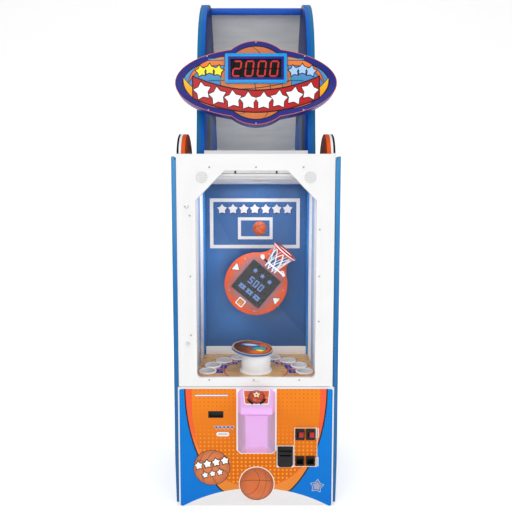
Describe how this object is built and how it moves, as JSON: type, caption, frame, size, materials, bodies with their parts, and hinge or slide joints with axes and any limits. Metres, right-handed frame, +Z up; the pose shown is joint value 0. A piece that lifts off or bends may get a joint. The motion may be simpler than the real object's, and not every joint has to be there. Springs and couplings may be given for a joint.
{
  "type": "basketball hoop machine",
  "caption": "Upright ticket game cabinet: ball drops to a turning hoop wheel behind a window, scoring cups below, push-button console, coin door, marquee with number display and tower.",
  "frame": {"origin": "on the floor under the centre of the outline box", "axes": "+Z up along the height; the front with window and console faces -Y; +X across the width, to the right seen from the front"},
  "size_m": [0.965, 1.25, 3.19],
  "materials": {
    "base_black": "painted",
    "foot_rubber": "moulded",
    "blue_panel": "blue laminate",
    "dark_panel": "black laminate",
    "white_panel": "white laminate",
    "steel_parts": "zinc plated",
    "front_print": "printed laminate",
    "dome_plastic": "moulded basketball grain",
    "court_floor": "printed court boards",
    "cup_plastic": "moulded white",
    "wall_print": "printed blue",
    "upright_blue": "blue paint",
    "bar_blue": "moulded blue",
    "tower_sheet": "grey sheet",
    "fin_print": "painted orange",
    "marquee_blue": "indigo paint",
    "marquee_print": "back printed acrylic",
    "display_frame": "moulded",
    "bracket_black": "powder coat",
    "clear_pane": "clear",
    "device_black": "moulded black",
    "lock_metal": "bright",
    "console_plastic": "moulded lilac",
    "plate_print": "printed orange",
    "button_plastic": "moulded",
    "ticket_white": "moulded white",
    "coin_panel": "printed",
    "reject_red": "translucent red",
    "wheel_print": "printed",
    "matrix_black": "display face",
    "rim_paint": "gloss orange red",
    "net_cord": "white cord",
    "sensor_white": "moulded",
    "bearing_iron": "painted",
    "motor_paint": "grey paint",
    "plate_wood": "printed round board",
    "ball_rubber": "pebbled",
    "sheet_metal": "bent sheet",
    "lift_plastic": "grey moulding",
    "box_metal": "grey paint"
  },
  "bodies": {
    "cabinet": {"base_frame": "base_black", "levelling_feet": "foot_rubber", "side_panel_left": "blue_panel", "side_panel_right": "blue_panel", "rear_panel": "dark_panel", "top_deck": "white_panel", "hinge_pins": "steel_parts", "lower_front_panel": "front_print", "front_dome": "dome_plastic", "play_floor": "court_floor", "scoring_cups": "cup_plastic", "interior_walls": "white_panel", "back_wall": "wall_print", "ceiling": "white_panel", "upright_left": "upright_blue", "upright_right": "upright_blue", "crossbar": "bar_blue", "tower_back": "tower_sheet", "top_fins": "fin_print", "marquee_box": "marquee_blue", "marquee_face": "marquee_print", "score_display": "display_frame", "marquee_brackets": "bracket_black", "console_shell": "console_plastic", "button_plate": "plate_print", "button_housing": "device_black", "button_spring": "steel_parts", "credit_display": "device_black", "ticket_dispenser": "ticket_white", "bill_validator": "device_black", "cash_box": "steel_parts", "wheel_bearings": "bearing_iron", "wheel_motor": "motor_paint", "pedestal": "cup_plastic", "deflector_motor": "motor_paint", "feed_chute": "sheet_metal", "ball_return_tray": "sheet_metal", "ball_lift": "lift_plastic", "control_box": "box_metal"},
    "upper_door": {"door_frame": "white_panel", "door_window": "clear_pane", "door_screws": "steel_parts", "door_speakers": "device_black"},
    "lock_upper": {"door_lock_upper": "lock_metal"},
    "lock_lower": {"door_lock_lower": "lock_metal"},
    "coin_door": {"coin_door_panel": "coin_panel", "coin_entries": "device_black"},
    "reject_left": {"reject_button_left": "reject_red"},
    "reject_right": {"reject_button_right": "reject_red"},
    "play_button": {"play_button": "button_plastic"},
    "wheel": {"wheel_disc": "wheel_print", "wheel_display": "matrix_black", "hoop_rim": "rim_paint", "hoop_net": "net_cord", "sensor_bar": "sensor_white", "wheel_shaft": "steel_parts"},
    "deflector": {"deflector_plate": "plate_wood"},
    "ball": {"game_ball": "ball_rubber"},
    "release_pin": {"release_pin": "steel_parts"},
    "rear_door": {"rear_door": "dark_panel"}
  },
  "joints": [
    {"name": "upper_door_swing", "type": "hinge", "parent": "cabinet", "child": "upper_door", "pos_m": [0.446, -0.498, 1.4], "axis": [0, 0, 1], "range_deg": [0, 100]},
    {"name": "lock_upper_turn", "type": "hinge", "parent": "upper_door", "child": "lock_upper", "pos_m": [-0.399, -0.485, 1.8], "axis": [0, 1, 0], "range_deg": [0, 90]},
    {"name": "lock_lower_turn", "type": "hinge", "parent": "upper_door", "child": "lock_lower", "pos_m": [-0.399, -0.485, 0.998], "axis": [0, 1, 0], "range_deg": [0, 90]},
    {"name": "coin_door_swing", "type": "hinge", "parent": "cabinet", "child": "coin_door", "pos_m": [0.3585, -0.509, 0.373], "axis": [0, 0, 1], "range_deg": [0, 100]},
    {"name": "reject_left_press", "type": "slide", "parent": "coin_door", "child": "reject_left", "axis": [0, 1, 0], "range_m": [0, 0.004], "stiffness_N_per_m": 300, "springref_m": -0.003},
    {"name": "reject_right_press", "type": "slide", "parent": "coin_door", "child": "reject_right", "axis": [0, 1, 0], "range_m": [0, 0.004], "stiffness_N_per_m": 300, "springref_m": -0.003},
    {"name": "play_button_press", "type": "slide", "parent": "cabinet", "child": "play_button", "axis": [0, 0.4939, -0.8695], "range_m": [0, 0.006], "stiffness_N_per_m": 900, "springref_m": -0.004},
    {"name": "wheel_spin", "type": "hinge", "parent": "cabinet", "child": "wheel", "pos_m": [0, -0.08, 1.294], "axis": [0, 1, 0], "continuous": true},
    {"name": "deflector_spin", "type": "hinge", "parent": "cabinet", "child": "deflector", "pos_m": [0, -0.297, 0.9], "axis": [0, 0, 1], "continuous": true},
    {"name": "ball_drop", "type": "slide", "parent": "cabinet", "child": "ball", "axis": [0, 0, 1], "range_m": [-0.01, 0.36]},
    {"name": "release_pin_slide", "type": "slide", "parent": "cabinet", "child": "release_pin", "axis": [-0.8649, 0.5019, 0], "range_m": [0, 0.044], "stiffness_N_per_m": 120, "springref_m": -0.01},
    {"name": "rear_door_swing", "type": "hinge", "parent": "cabinet", "child": "rear_door", "pos_m": [0.353, 0.6205, 1.05], "axis": [0, 0, -1], "range_deg": [0, 110]}
  ]
}
